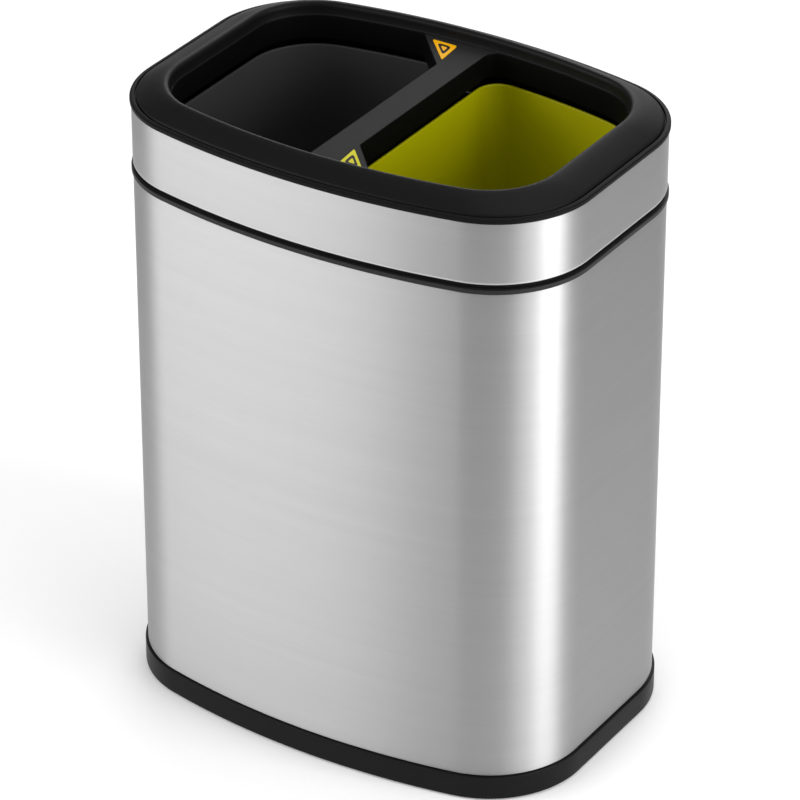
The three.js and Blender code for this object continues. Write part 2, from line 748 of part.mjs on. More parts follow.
// The feature that takes the most skill: one moulding with the lip that hides the band's edge, a
// groove, the domed slope, the sunken field with its divider, two mouths with skirts, and the
// hidden skirt, ribs and screw bosses beneath.
function lidFrame() {
  const slope = slopePoints();
  const mouthOuter = mouthInset - mouthWall;
  const lipInner = -bandProud - gap;
  const slotRoof = rimEdge + bandTuck + gap;
  const grooveFloor = rimEdge + lipRise - grooveDepth;
  const under = slope
    .slice(1, -1)
    .map(([inset, z]) => [inset, z - lidWall - gap])
    .reverse();
  const rim = ring(lidOutline, [
    [lipInner, rimEdge],
    [gap - lipProud, rimEdge],
    [-lipProud, rimEdge + gap],
    [-lipProud, rimEdge + lipFace],
    [lipRounding - lipProud, rimEdge + lipFace + lipRounding],
    [lipInset, rimEdge + lipRise],
    [lipInset + gap, grooveFloor],
    [lipInset + grooveWidth, grooveFloor],
    ...slope,
    ...crestPoints(),
    [crestFoot, fieldTop + 2 * gap],
    [crestFoot + gap, fieldTop],
    [mouthInset - mouthEdge, fieldTop],
    [mouthInset - mouthEdge, fieldBottom],
    [crestFoot - lidWall, fieldBottom],
    [crestFoot - lidWall, crestTop - lidWall - gap],
    ...under,
    [lidSkirtInner, rimEdge + gap],
    [lidSkirtInner, lidSkirtBottom],
    [lidSkirtOuter, lidSkirtBottom],
    [lidSkirtOuter, slotRoof],
    [lipInner, slotRoof],
  ]);
  const field = plate(outline(lidOutline, crestFoot + gap), fieldBottom, fieldTop);
  const holes = [leftMouth, rightMouth].map((samples) =>
    plate(outline(samples, mouthInset - mouthEdge), fieldBottom - lidWall, fieldTop + lidWall),
  );
  const skirts = [leftMouth, rightMouth].map((samples) =>
    ring(samples, [
      [mouthOuter, mouthBottom],
      [mouthInset, mouthBottom],
      [mouthInset, fieldTop - mouthEdge],
      [mouthInset - mouthEdge, fieldTop],
      [mouthOuter, fieldTop],
    ]),
  );
  const ribBottom = fieldTop - lidRibDrop;
  const ribProfile = [
    [lidSkirtInner - mouthWall / 2, ribBottom],
    [mouthOuter + mouthWall / 2, ribBottom],
    [mouthOuter + mouthWall / 2, fieldBottom + fieldThickness / 2],
    [crestFoot - lidWall / 2, fieldBottom + fieldThickness / 2],
    [crestFoot - lidWall / 2, crestTop - lidWall],
    ...under.map(([inset, z]) => [inset, z + lidWall / 2]),
    [lidSkirtInner - mouthWall / 2, rimEdge],
  ];
  const ribs = evenStations(bodyOutline, lidRibs).map((station) => {
    const drawIn = endDrawIn * Math.abs(Math.cos(station.angle));
    return radialRib(
      station,
      ribProfile.map(([inset, z]) => [inset + drawIn * slopeShare(inset), z]),
    );
  });
  const bossTop = rimEdge + bossRise;
  const bosses = lidScrewPlaces.flatMap((station) => [
    upright(station, bossInset, bossRadius, bandBottom, bossTop, fineSteps),
    radialRib(station, [
      [lidSkirtInner - mouthWall / 2, lidSkirtBottom],
      [bossInset, lidSkirtBottom],
      [bossInset, bossTop],
      [lidSkirtInner - mouthWall / 2, rimEdge],
    ]),
  ]);
  const coreTop = bandBottom + lidScrewLength + coreReach;
  const cores = lidScrewPlaces.map((station) =>
    upright(station, bossInset, screwRadius + gap, bandBottom - gap, coreTop, fineSteps),
  );
  const between = dividerWidth - mouthWall;
  const webs = Array.from({ length: dividerRibs }, (_, k) => {
    const y = ((k + 0.5) / dividerRibs - 0.5) * 2 * cutCornerStart;
    const height = fieldBottom + fieldThickness / 2 - ribBottom;
    const web = new THREE.BoxGeometry(between, ribThickness, height);
    return web.translate(0, y, ribBottom + height / 2);
  });
  const recesses = [1, -1].map((side) =>
    plate(markerOutline(side, 2 * gap), fieldTop - markerRecess, fieldTop + markerThickness),
  );
  const plateWithHoles = without(solid(field), ...holes);
  const frame = joined(rim, ...skirts, ...ribs, ...bosses, ...webs).add(plateWithHoles);
  return surface(without(frame, ...cores, ...recesses));
}

// The brushed steel band, with its lower edge turned in under the frame's skirt.
function lidBand() {
  const soft = bandSheet / 3;
  return surface(
    solid(
      ring(bodyOutline, [
        [soft - bandProud, bandBottom],
        [bandInner + bandReturn, bandBottom],
        [bandInner + bandReturn, bandBottom + bandSheet],
        [bandInner, bandBottom + bandSheet],
        [bandInner, rimEdge + bandTuck],
        [-bandProud, rimEdge + bandTuck],
        [-bandProud, bandBottom + soft],
      ]),
    ),
  );
}

// The ring that clamps the band's lower edge and stands on the collar, with a lip that drops
// inside the collar to centre the lid.
function lidRetainer() {
  const lipBottom = retainerBottom - retainerLip;
  const soft = retainerWall / 3;
  const body = ring(bodyOutline, [
    [retainerSetback, retainerBottom],
    [lipOuterCorner, retainerBottom],
    [lipOuterCorner, lipBottom + soft],
    [lipOuterCorner + soft, lipBottom],
    [retainerInner, lipBottom],
    [retainerInner, retainerTop],
    [retainerSetback, retainerTop],
  ]);
  const headRoof = retainerBottom + headHeight + gap;
  const shankHole = screwRadius + screwClearance;
  const recesses = lidScrewPlaces.flatMap((station) => [
    upright(station, bossInset, headRadius + gap, retainerBottom - gap, headRoof, fineSteps),
    upright(station, bossInset, shankHole, retainerBottom, retainerTop + gap, fineSteps),
  ]);
  return surface(without(solid(body), ...recesses));
}

// The corners of a colour marker, with its long side along the cut corner. side is 1 for the
// left mouth's marker and -1 for the right one's, half a turn round.
function markerOutline(side, extra) {
  const [x, y] = markerCorner;
  const corners = [
    [x, y],
    [x - markerShort, y],
    [x + markerSplay, y - markerLong],
  ];
  const middle = [0, 1].map((axis) => corners.reduce((sum, corner) => sum + corner[axis], 0) / 3);
  const rounded = corners.flatMap((corner, i) =>
    [corners[(i + 2) % 3], corners[(i + 1) % 3]].map((other) => {
      const share = markerRounding / distance(corner, other);
      return corner.map((value, axis) => value + (other[axis] - value) * share);
    }),
  );
  return rounded.map((point) => {
    const grow = 1 + extra / distance(point, middle);
    return point.map((value, axis) => side * (middle[axis] + (value - middle[axis]) * grow));
  });
}

function marker(side) {
  const low = fieldTop - markerRecess + gap;
  return surface(solid(plate(markerOutline(side, 0), low, low + markerThickness)));
}

// ---------------------------------------------------------------- materials and assembly
const finishes = {
  brushedSteel: { color: "#b4b4b2", roughness: 0.34, metalness: 1 },
  galvanised: { color: "#9c9e9d", roughness: 0.5, metalness: 1 },
  blackPlastic: { color: "#1d1d1d", roughness: 0.45, metalness: 0 },
  grainedPlastic: { color: "#2c2c2c", roughness: 0.6, metalness: 0 },
  oliveLiner: { color: "#7f8000", roughness: 0.5, metalness: 0 },
  rubber: { color: "#151515", roughness: 0.85, metalness: 0 },
  zincScrew: { color: "#8f9090", roughness: 0.4, metalness: 1 },
  orangeFilm: { color: "#f2b62a", roughness: 0.4, metalness: 0 },
  limeFilm: { color: "#e0dd48", roughness: 0.4, metalness: 0 },
};

const group = new THREE.Group();

function addPiece(name, geometry, finish) {
  const material = new THREE.MeshStandardMaterial(finishes[finish]);
  const mesh = new THREE.Mesh(geometry, material);
  mesh.name = name;
  group.add(mesh);
}

addPiece("body_shell", bodyShell(), "brushedSteel");
addPiece("top_collar", topCollar(), "blackPlastic");
addPiece("base_ring", baseRing(), "blackPlastic");
addPiece("floor_panel", floorPanel(), "galvanised");
footPlaces.forEach((station, i) => {
  addPiece(`foot_${placeNames[i]}`, foot(station), "rubber");
});
const baseHeadTop = seatTop - plinthWall - gap;
screwPlaces.forEach((station, i) => {
  const geometry = screw(station, baseScrewInset, baseHeadTop, baseScrewLength);
  addPiece(`base_screw_${placeNames[i]}`, geometry, "zincScrew");
});
addPiece("liner_left", liner(leftLiner), "blackPlastic");
addPiece("liner_right", liner(rightLiner), "oliveLiner");
addPiece("lid_frame", lidFrame(), "grainedPlastic");
addPiece("lid_band", lidBand(), "brushedSteel");
addPiece("lid_retainer", lidRetainer(), "blackPlastic");
lidScrewPlaces.forEach((station, i) => {
  const geometry = screw(station, bossInset, retainerBottom + headHeight, lidScrewLength);
  addPiece(`lid_screw_${lidScrewNames[i]}`, geometry, "zincScrew");
});
addPiece("marker_left", marker(1), "orangeFilm");
addPiece("marker_right", marker(-1), "limeFilm");

export default group;
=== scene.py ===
import math

import bmesh
import bpy
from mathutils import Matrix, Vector
from mathutils.geometry import tessellate_polygon


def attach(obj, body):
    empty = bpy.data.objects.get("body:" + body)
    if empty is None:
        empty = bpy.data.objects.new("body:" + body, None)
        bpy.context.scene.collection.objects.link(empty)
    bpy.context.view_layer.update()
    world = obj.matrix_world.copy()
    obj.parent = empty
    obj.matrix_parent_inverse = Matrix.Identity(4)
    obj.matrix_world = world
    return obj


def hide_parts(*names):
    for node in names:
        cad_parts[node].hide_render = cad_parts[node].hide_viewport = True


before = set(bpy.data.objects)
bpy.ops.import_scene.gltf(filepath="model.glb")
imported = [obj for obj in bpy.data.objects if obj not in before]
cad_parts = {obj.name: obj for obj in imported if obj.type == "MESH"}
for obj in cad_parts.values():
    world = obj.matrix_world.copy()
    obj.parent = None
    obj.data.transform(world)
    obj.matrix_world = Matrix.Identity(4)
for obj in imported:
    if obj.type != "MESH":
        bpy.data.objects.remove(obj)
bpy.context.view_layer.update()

# A double recycling bin. The frame gives its bodies, joints and places. This script gives its
# pieces their smooth shapes and finishes, and puts the bin on a pale studio floor.
# Lengths are in millimetres, as on the maker's drawing, until a mesh is made in metres.
MM = 0.001
QUARTER = math.pi / 2

# ------------------------------------------------------------ sizes from the drawing, in mm
BODY_WIDTH, BODY_DEPTH, BOW_RISE, CORNER_RADIUS = 340, 245.3, 27.1, 70.3
GAP = 0.3  # between pieces that seat on each other

PLINTH_BOTTOM, PLINTH_TOP, PLINTH_PROUD, PLINTH_WALL, PLINTH_EDGE = 1.2, 18.7, 1.9, 2.2, 0.8
SHELL_BOTTOM, SHELL_TOP, SHEET, HEM = 19.0, 390.1, 0.8, 8
SEAT_TOP, SEAT_UNDER = 26.5, 24.3
RING_UPSTAND, RING_INNER = 2.9, 21.9
FOOT_HEIGHT, FOOT_INSET, SOCKET_RADIUS, PLUG_RADIUS = 2.6, 11.7, 7.7, 5.6
COLLAR_TOP, COLLAR_PROUD, COLLAR_INNER, COLLAR_SKIRT = 393.4, 1.2, 10.3, 20
COLLAR_WALL, COLLAR_EDGE, COLLAR_INNER_EDGE, SNAP_BEAD = 2, 0.6, 0.4, 0.8
BAND_BOTTOM, BAND_PROUD, BAND_SHEET, BAND_FOLD, BAND_TURN_IN = 396.8, 0.2, 0.8, 0.6, 1.8
HIGHLIGHT_HEIGHT, HIGHLIGHT_SKIN = 1.3, 0.02  # the painted highlight line on the band's fold
RIM_EDGE, CREST_TOP = 440.7, 453.5
BAND_TOP = RIM_EDGE + 1.3  # the band's upper edge stands in a slot behind the lip
LIP_PROUD, LIP_FACE, LIP_INSET, LIP_RISE, LIP_EDGE = 1.2, 2.0, 1.9, 3.5, 0.3
GROOVE_WIDTH, GROOVE_DEPTH, SLOPE_RISE = 1.1, 1.6, 4.1
CROWN_RUN, CROWN_DROP = 4.4, 0.9  # where the slope's tangents meet, from the crest
CREST_INSET, CREST_WIDTH, CREST_DROP, LID_WALL = 18.4, 3.2, 3.6, 2.2
CREST_FOOT = CREST_INSET + CREST_WIDTH + GAP
FIELD_TOP, FIELD_BOTTOM = 444.7, 442.2
SKIRT_OUTER, SKIRT_INNER, SKIRT_BOTTOM = 0.9, 2.9, 397.9
MOUTH_INSET, MOUTH_WALL, MOUTH_EDGE, MOUTH_BOTTOM, MOUTH_FOOT = 23.2, 2.0, 0.6, 427.4, 0.7
END_DRAW_IN = 5  # the opening's ends lie this much further in than its front and back
MOUTH_CORNER, DIVIDER_WIDTH = 9, 21.4
CUT_CORNER_RADIUS, CUT_CORNER_DEPTH, CUT_CORNER_ANGLE = 3, 36.4, 42.5
LINER_TOP, LINER_BOTTOM, LINER_INSET, LINER_WALL = 422.2, 24.1, 20.4, 1.8
LINER_TAPER, LINER_FACE, LINER_CORNER = 8.4, 7.9, 17
LINER_BEAD, LINER_BEAD_HEIGHT, LINER_LIP_ROUND = 0.8, 3, 1.2
LINER_FOOT, LINER_FOOT_WIDTH, LINER_FOOT_ROUND, LINER_FLOOR_ROUND = 3, 5, 1.8, 4
BOSS_INSET, BOSS_RADIUS, BOSS_CORE, BOSS_RISE, SCREW_X = 6.6, 3.7, 1.6, 1.5, 85
PLINTH_BOSS_RADIUS, PLINTH_BOSS_HOLE, PLINTH_BOSS_RISE = 5.1, 3.3, 1.4
RIB, RIB_COUNT, RIB_DEPTH, WEB_COUNT = 1.6, 12, 14, 4  # ribs under the lid, in the collar and plinth
SINK = 0.1  # how far a joined part of a moulding runs into the next
SEAM_LAP = 9
MARKER_LONG, MARKER_SHORT, MARKER_THICK, MARKER_RECESS = 23.2, 19.9, 0.5, 0.4
MARKER_OFFSET, MARKER_MARGIN, MARKER_SPLAY, MARKER_ROUND = 2.1, 7.2, 2, 2.2
PRINT_OUTER, PRINT_INNER = (0.6, 4.4), (0.28, 1.9)  # share of the marker, rounding
PRINT_THICK, PRINT_RISE = 0.03, 0.02

# Steps that turn each kind of bend into a smooth one.
BOW_STEPS, CORNER_STEPS, BEND_STEPS, ROUND_STEPS = 36, 28, 10, 40
SLOPE_STEPS, CREST_STEPS = 16, 10
SAME_PLACE = 1e-3  # stations nearer than this are one


# ------------------------------------------------------------ plan of the body
class Plan:
    """The radii and centres of a plan's bows and corners, for its width."""

    def __init__(self, width):
        self.bow_radius = ((width / 2) ** 2 + BOW_RISE**2) / (2 * BOW_RISE)
        self.bow_centre = self.bow_radius - BODY_DEPTH / 2
        self.corner_x = width / 2 - CORNER_RADIUS
        reach = self.bow_radius - CORNER_RADIUS
        self.corner_y = math.sqrt(reach**2 - self.corner_x**2) - self.bow_centre
        self.bow_half = math.asin(self.corner_x / reach)

    def bow(self, side, start, end):
        """The arc of the front (-1) or rear (1) bow."""
        return 0, -side * self.bow_centre, self.bow_radius, start, end, BOW_STEPS

    def corner(self, side_x, side_y, start, end):
        """The arc of one corner."""
        x, y = side_x * self.corner_x, side_y * self.corner_y
        return x, y, CORNER_RADIUS, start, end, CORNER_STEPS

    def outline(self):
        """Stations once round, from the left end of the front bow."""
        half = self.bow_half
        return outline([
            self.bow(-1, -QUARTER - half, -QUARTER + half),
            self.corner(1, -1, -QUARTER + half, 0),
            self.corner(1, 1, 0, QUARTER - half),
            self.bow(1, QUARTER - half, QUARTER + half),
            self.corner(-1, 1, QUARTER + half, math.pi),
            self.corner(-1, -1, math.pi, 3 * QUARTER - half),
        ])


BODY_PLAN, OPENING_PLAN = Plan(BODY_WIDTH), Plan(BODY_WIDTH - 2 * END_DRAW_IN)


def bow_y(inset, x):
    """How far behind the middle an inset of the opening's rear bow lies at x."""
    return math.sqrt((OPENING_PLAN.bow_radius - inset) ** 2 - x**2) - OPENING_PLAN.bow_centre


def slope_share(inset):
    """How far up the lid's slope an inset lies, from 0 at its foot to 1 at the crest."""
    foot = LIP_INSET + GROOVE_WIDTH + GAP
    return min(max((inset - foot) / (CREST_INSET - foot), 0), 1)


def at(station, inset):
    """The point that lies inset inwards from a station of an outline. A station of the lid has a
    second half, in the opening's plan, which its points near as the slope rises."""
    x, y, r, angle = station[:4]
    point = x + (r - inset) * math.cos(angle), y + (r - inset) * math.sin(angle)
    if len(station) == 4:
        return point
    share = slope_share(inset)
    return tuple(a + (b - a) * share for a, b in zip(point, at(station[4:], inset)))


def outline(arcs):
    """Stations along arcs (x, y, r, from, to, steps). r is the radius on the body's outer face."""
    stations = []
    for x, y, r, start, end, steps in arcs:
        for i in range(steps + 1):
            station = (x, y, r, start + (end - start) * i / steps)
            if not stations or math.dist(at(stations[-1], 0), at(station, 0)) > SAME_PLACE:
                stations.append(station)
    if math.dist(at(stations[0], 0), at(stations[-1], 0)) < SAME_PLACE:
        stations.pop()
    return stations


BODY = BODY_PLAN.outline()
LID = [body + opening for body, opening in zip(BODY, OPENING_PLAN.outline())]


def cut_corner(face, inset):
    """The two small bends at the ends of a mouth's cut corner."""
    turn = math.radians(CUT_CORNER_ANGLE)
    normal = Vector((math.cos(turn), math.sin(turn)))
    along = Vector((-normal.y, normal.x))
    start = Vector((-face, bow_y(MOUTH_INSET, DIVIDER_WIDTH / 2) - CUT_CORNER_DEPTH))
    low_y = start.y - CUT_CORNER_RADIUS * (1 - normal.x) / normal.y
    foot = start - normal * CUT_CORNER_RADIUS
    from_bow = foot - Vector((0, -OPENING_PLAN.bow_centre))
    half = from_bow.dot(along)
    reach = OPENING_PLAN.bow_radius - inset - CUT_CORNER_RADIUS
    high = foot + along * (math.sqrt(half**2 - from_bow.length_squared + reach**2) - half)
    r = CUT_CORNER_RADIUS + inset
    bow_angle = math.atan2(high.y + OPENING_PLAN.bow_centre, high.x)
    return [
        (-face - CUT_CORNER_RADIUS, low_y, r, 0, turn, BEND_STEPS),
        (high.x, high.y, r, turn, bow_angle, BEND_STEPS),
    ]


def half_outline(face, inset, radius, cut):
    """The left half of the opening's plan, closed by a straight side near the middle."""
    x = -face - radius
    y = bow_y(inset + radius, x)
    half, tangent = OPENING_PLAN.bow_half, math.atan2(y + OPENING_PLAN.bow_centre, x)
    r = radius + inset
    rear = cut_corner(face, inset) if cut else [(x, y, r, 0, tangent, BEND_STEPS)]
    return outline([
        OPENING_PLAN.bow(-1, -QUARTER - half, -tangent),
        (x, -y, r, -tangent, 0, BEND_STEPS),
        *rear,
        OPENING_PLAN.bow(1, rear[-1][4], QUARTER + half),
        OPENING_PLAN.corner(-1, 1, QUARTER + half, math.pi),
        OPENING_PLAN.corner(-1, -1, math.pi, 3 * QUARTER - half),
    ])


def half_turn(stations):
    """The same outline turned half round the upright axis."""
    return [(-x, -y, r, angle + math.pi) for x, y, r, angle in stations]


LEFT_MOUTH = half_outline(DIVIDER_WIDTH / 2, MOUTH_INSET, MOUTH_CORNER, True)
RIGHT_MOUTH = half_turn(LEFT_MOUTH)
LEFT_LINER = half_outline(LINER_FACE, LINER_INSET, LINER_CORNER, False)
RIGHT_LINER = half_turn(LEFT_LINER)


def loop(stations, inset):
    """The outline's points at one inset."""
    return [at(station, inset) for station in stations]


# ------------------------------------------------------------ profiles
def bend(centre, radius, start, end, steps=5):
    """Points of a small rounded bend, from one angle to another in degrees, as (inset, z)."""
    angles = [math.radians(start + (end - start) * i / steps) for i in range(steps + 1)]
    return [(centre[0] + radius * math.cos(a), centre[1] + radius * math.sin(a)) for a in angles]


def curve(start, pull, end, steps):
    """Points along a curve that leaves start towards pull and comes to end from it."""
    shares = [i / steps for i in range(steps + 1)]
    return [
        tuple((1 - t) ** 2 * a + 2 * t * (1 - t) * b + t * t * c for a, b, c in zip(start, pull, end))
        for t in shares
    ]


# ------------------------------------------------------------ meshes
class Moulding:
    """Collects the closed shells of one piece and turns them into one object, in metres."""

    def __init__(self):
        self.points, self.faces, self.finishes = [], [], []

    def shell(self, points, faces, finish=0):
        start = len(self.points)
        self.points += points
        self.faces += [[start + i for i in face] for face in faces]
        self.finishes += finish if isinstance(finish, list) else [finish] * len(faces)
        return self

    def ring(self, stations, profile, finish=0):
        """Sweeps a closed profile of (inset, z) points once round an outline. The finish is one
        number, or a list with one for each side of the profile."""
        points = [(*at(s, inset), z) for s in stations for inset, z in profile]
        rows, n = len(stations), len(profile)
        faces = [
            (i * n + j, i * n + (j + 1) % n, (i + 1) % rows * n + (j + 1) % n, (i + 1) % rows * n + j)
            for i in range(rows)
            for j in range(n)
        ]
        return self.shell(points, faces, finish * rows if isinstance(finish, list) else finish)

    def cup(self, stations, profile):
        """Sweeps an open profile from a cup's inside floor over its rim to its underside."""
        n = len(stations)
        points = [(*at(s, inset), z) for inset, z in profile for s in stations]
        faces = [
            (row * n + i, (row + 1) * n + i, (row + 1) * n + (i + 1) % n, row * n + (i + 1) % n)
            for row in range(len(profile) - 1)
            for i in range(n)
        ]
        last = (len(profile) - 1) * n
        floor = tessellate_polygon([[Vector((*at(s, profile[0][0]), 0)) for s in stations]])
        faces += [tuple(t) for t in floor] + [tuple(last + i for i in reversed(t)) for t in floor]
        return self.shell(points, faces)

    def slab(self, loops, low, high, finish=0):
        """A flat plate. The first loop is its edge and the others are its holes."""
        flat = [p for edge in loops for p in edge]
        n = len(flat)
        points = [(*p, low) for p in flat] + [(*p, high) for p in flat]
        fill = tessellate_polygon([[Vector((*p, 0)) for p in edge] for edge in loops])
        faces = [tuple(n + i for i in t) for t in fill] + [tuple(reversed(t)) for t in fill]
        start = 0
        for edge in loops:
            m = len(edge)
            for i in range(m):
                a, b = start + i, start + (i + 1) % m
                faces.append((a, b, b + n, a + n))
            start += m
        return self.shell(points, faces, finish)

    def sleeve(self, x, y, outer, inner, low, high):
        """An upright sleeve between two radii."""
        turn = 2 * math.pi / ROUND_STEPS
        stations = [(x, y, 0, i * turn + math.pi) for i in range(ROUND_STEPS)]
        return self.ring(stations, [(outer, low), (inner, low), (inner, high), (outer, high)])

    def rib(self, station, profile, thickness):
        """A thin upright rib that runs inwards from (x, y, angle), from a profile of (inset, z)."""
        x, y, angle = station
        inward = Vector((-math.cos(angle), -math.sin(angle)))
        side = Vector((-inward.y, inward.x)) * thickness / 2
        n = len(profile)
        points = [
            (x + inward.x * inset + sign * side.x, y + inward.y * inset + sign * side.y, z)
            for sign in (-1, 1)
            for inset, z in profile
        ]
        faces = [tuple(range(n)), tuple(reversed(range(n, 2 * n)))]
        faces += [(i, (i + 1) % n, (i + 1) % n + n, i + n) for i in range(n)]
        return self.shell(points, faces)

    def piece(self, name, materials, smooth_below=38):
        """The finished object. Edges sharper than smooth_below degrees stay crisp."""
        bm = bmesh.new()
        corners = [bm.verts.new([value * MM for value in p]) for p in self.points]
        for face, finish in zip(self.faces, self.finishes):
            bm.faces.new([corners[i] for i in face]).material_index = finish
        bmesh.ops.remove_doubles(bm, verts=bm.verts, dist=1e-7)
        bmesh.ops.recalc_face_normals(bm, faces=bm.faces)
        mesh = bpy.data.meshes.new(name)
        bm.to_mesh(mesh)
        bm.free()
        for material in materials:
            mesh.materials.append(material)
        mesh.shade_smooth()
        mesh.set_sharp_from_angle(angle=math.radians(smooth_below))
        made = bpy.data.objects.new(name, mesh)
        bpy.context.scene.collection.objects.link(made)
        return made


def bow_station(side, x):
    """A place on the outer face of the front (-1) or rear (1) bow, with its outward direction."""
    radius = BODY_PLAN.bow_radius
    angle = side * math.acos(x / radius)
    return x, radius * math.sin(angle) - side * BODY_PLAN.bow_centre, angle


def corner_station(side_x, side_y):
    """A place halfway round a corner of the body."""
    turn = (QUARTER - BODY_PLAN.bow_half) / 2
    x = side_x * (BODY_PLAN.corner_x + CORNER_RADIUS * math.cos(turn))
    y = side_y * (BODY_PLAN.corner_y + CORNER_RADIUS * math.sin(turn))
    return x, y, side_y * (turn if side_x > 0 else math.pi - turn)


def side_station(side):
    """The middle of the right (1) or left (-1) side."""
    return side * BODY_WIDTH / 2, 0, 0 if side > 0 else math.pi


def even_stations(count):
    """Places at equal steps round the body."""
    corners = loop(BODY, 0)
    ends = corners[1:] + corners[:1]
    total = sum(math.dist(a, b) for a, b in zip(corners, ends))
    found, walked = [], 0.0
    for a, b in zip(corners, ends):
        length = math.dist(a, b)
        while len(found) < count and walked + length > total * (len(found) + 0.5) / count:
            share = (total * (len(found) + 0.5) / count - walked) / length
            angle = math.atan2(b[1] - a[1], b[0] - a[0]) - QUARTER
            found.append((a[0] + (b[0] - a[0]) * share, a[1] + (b[1] - a[1]) * share, angle))
        walked += length
    return found


def inwards(station, inset):
    """The point that lies inset inwards from a place (x, y, angle)."""
    x, y, angle = station
    return x - inset * math.cos(angle), y - inset * math.sin(angle)


SCREW_PLACES = [bow_station(side, x) for side in (-1, 1) for x in (-SCREW_X, SCREW_X)]
LID_SCREW_PLACES = [*SCREW_PLACES, side_station(-1), side_station(1)]
FOOT_PLACES = [
    inwards(corner_station(side_x, side_y), FOOT_INSET) for side_y in (-1, 1) for side_x in (-1, 1)
]


# ------------------------------------------------------------ finishes
def linear(text):
    """A colour written as sRGB hex, in the linear light that Blender works in."""
    values = [int(text[i : i + 2], 16) / 255 for i in (1, 3, 5)]
    return (*[v / 12.92 if v <= 0.04045 else ((v + 0.055) / 1.055) ** 2.4 for v in values], 1)


def add(tree, kind, settings=None, links=None):
    """Adds a node. Settings name its sockets or properties, and links give a socket its source."""
    node = tree.nodes.new(kind)
    for key, value in (settings or {}).items():
        if isinstance(key, int) or key in node.inputs:
            node.inputs[key].default_value = value
        else:
            setattr(node, key, value)
    for key, (source, output) in (links or {}).items():
        tree.links.new(source.outputs[output], node.inputs[key])
    return node


def blank(name):
    """An empty material and the places where its shader and pattern start."""
    material = bpy.data.materials.new(name)
    material.use_nodes = True
    tree = material.node_tree
    tree.nodes.clear()
    output = add(tree, "ShaderNodeOutputMaterial")
    return material, tree, output, add(tree, "ShaderNodeTexCoord")


def set_shader(tree, output, settings, links):
    """Ends a material with one shader whose constant values sit on its own sockets."""
    shader = add(tree, "ShaderNodeBsdfPrincipled", settings, links)
    tree.links.new(shader.outputs["BSDF"], output.inputs["Surface"])


def brushed_stainless(name, dark, light, rough, grain):
    """Stainless steel sheet, brushed along its length. The belt leaves hair lines that run round
    the bin: they smear each reflection up and down and leave it sharp from side to side."""
    material, tree, output, place = blank(name)
    # Scales are in waves to the metre. Hair lines are 0.05 mm wide, and are drawn 0.7 mm wide and
    # 90 mm long so that they show.
    hair = add(tree, "ShaderNodeMapping", {"Scale": (11, 11, 1400)}, {"Vector": (place, "Object")})
    lines = add(
        tree,
        "ShaderNodeTexNoise",
        {"Scale": 1, "Detail": 3, "Roughness": 0.7},
        {"Vector": (hair, 0)},
    )
    # Broader passes of the belt, about 6 mm high and 250 mm long, change the tone a little.
    passes = add(tree, "ShaderNodeMapping", {"Scale": (4, 4, 160)}, {"Vector": (place, "Object")})
    tone = add(tree, "ShaderNodeTexNoise", {"Scale": 1, "Detail": 2}, {"Vector": (passes, 0)})
    both = add(tree, "ShaderNodeMix", {0: 0.35}, {2: (lines, 0), 3: (tone, 0)})
    colour = add(
        tree,
        "ShaderNodeMix",
        {"data_type": "RGBA", 6: linear(dark), 7: linear(light)},
        {0: (both, 0)},
    )
    gloss = add(
        tree,
        "ShaderNodeMapRange",
        {"To Min": rough - 0.06, "To Max": rough + 0.06},
        {"Value": (lines, 0)},
    )
    height = add(tree, "ShaderNodeBump", {"Strength": 0.10, "Distance": 0.0002}, {"Height": (lines, 0)})
    around = add(tree, "ShaderNodeTangent", {"direction_type": "RADIAL", "axis": "Z"})
    set_shader(
        tree,
        output,
        {"Metallic": 1.0, "Anisotropic": grain, "Anisotropic Rotation": 0.25},
        {"Base Color": (colour, 2), "Roughness": (gloss, 0), "Normal": (height, 0), "Tangent": (around, 0)},
    )
    return material


def moulded(name, dark, light, rough, grain, depth, shine=0.5):
    """Polypropylene, moulded in a tool with a spark-eroded face. The grain scatters the light, so
    the surface is satin, and slow changes in its gloss show where the plastic flowed."""
    material, tree, output, place = blank(name)
    # Such grain is about 0.1 mm wide, and is drawn about 1 mm wide so that it shows. The flow marks
    # are about 55 mm long.
    pits = add(
        tree,
        "ShaderNodeTexNoise",
        {"Scale": 1000 / grain, "Detail": 4, "Roughness": 0.6},
        {"Vector": (place, "Object")},
    )
    flow = add(tree, "ShaderNodeTexNoise", {"Scale": 18, "Detail": 2}, {"Vector": (place, "Object")})
    mixed = add(tree, "ShaderNodeMix", {0: 0.5}, {2: (pits, 0), 3: (flow, 0)})
    colour = add(
        tree, "ShaderNodeMix", {"data_type": "RGBA", 6: linear(dark), 7: linear(light)}, {0: (mixed, 0)}
    )
    gloss = add(
        tree, "ShaderNodeMapRange", {"To Min": rough - 0.05, "To Max": rough + 0.07}, {"Value": (mixed, 0)}
    )
    height = add(tree, "ShaderNodeBump", {"Strength": depth, "Distance": 0.0003}, {"Height": (pits, 0)})
    set_shader(
        tree,
        output,
        {"IOR": 1.49, "Specular IOR Level": shine},
        {"Base Color": (colour, 2), "Roughness": (gloss, 0), "Normal": (height, 0)},
    )
    return material


def galvanised():
    """Galvanised steel sheet, hot-dipped. The zinc freezes in flat crystals about 8 mm across, each
    with a grey and a gloss of its own."""
    material, tree, output, place = blank("Galvanised_steel_spangled")
    crystals = add(tree, "ShaderNodeTexVoronoi", {"Scale": 120}, {"Vector": (place, "Object")})
    colour = add(
        tree,
        "ShaderNodeMix",
        {"data_type": "RGBA", 6: linear("#8b8e8f"), 7: linear("#a9acad")},
        {0: (crystals, "Color")},
    )
    rough = add(
        tree,
        "ShaderNodeMapRange",
        {"To Min": 0.38, "To Max": 0.58},
        {"Value": (crystals, "Color")},
    )
    set_shader(tree, output, {"Metallic": 1.0}, {"Base Color": (colour, 2), "Roughness": (rough, 0)})
    return material


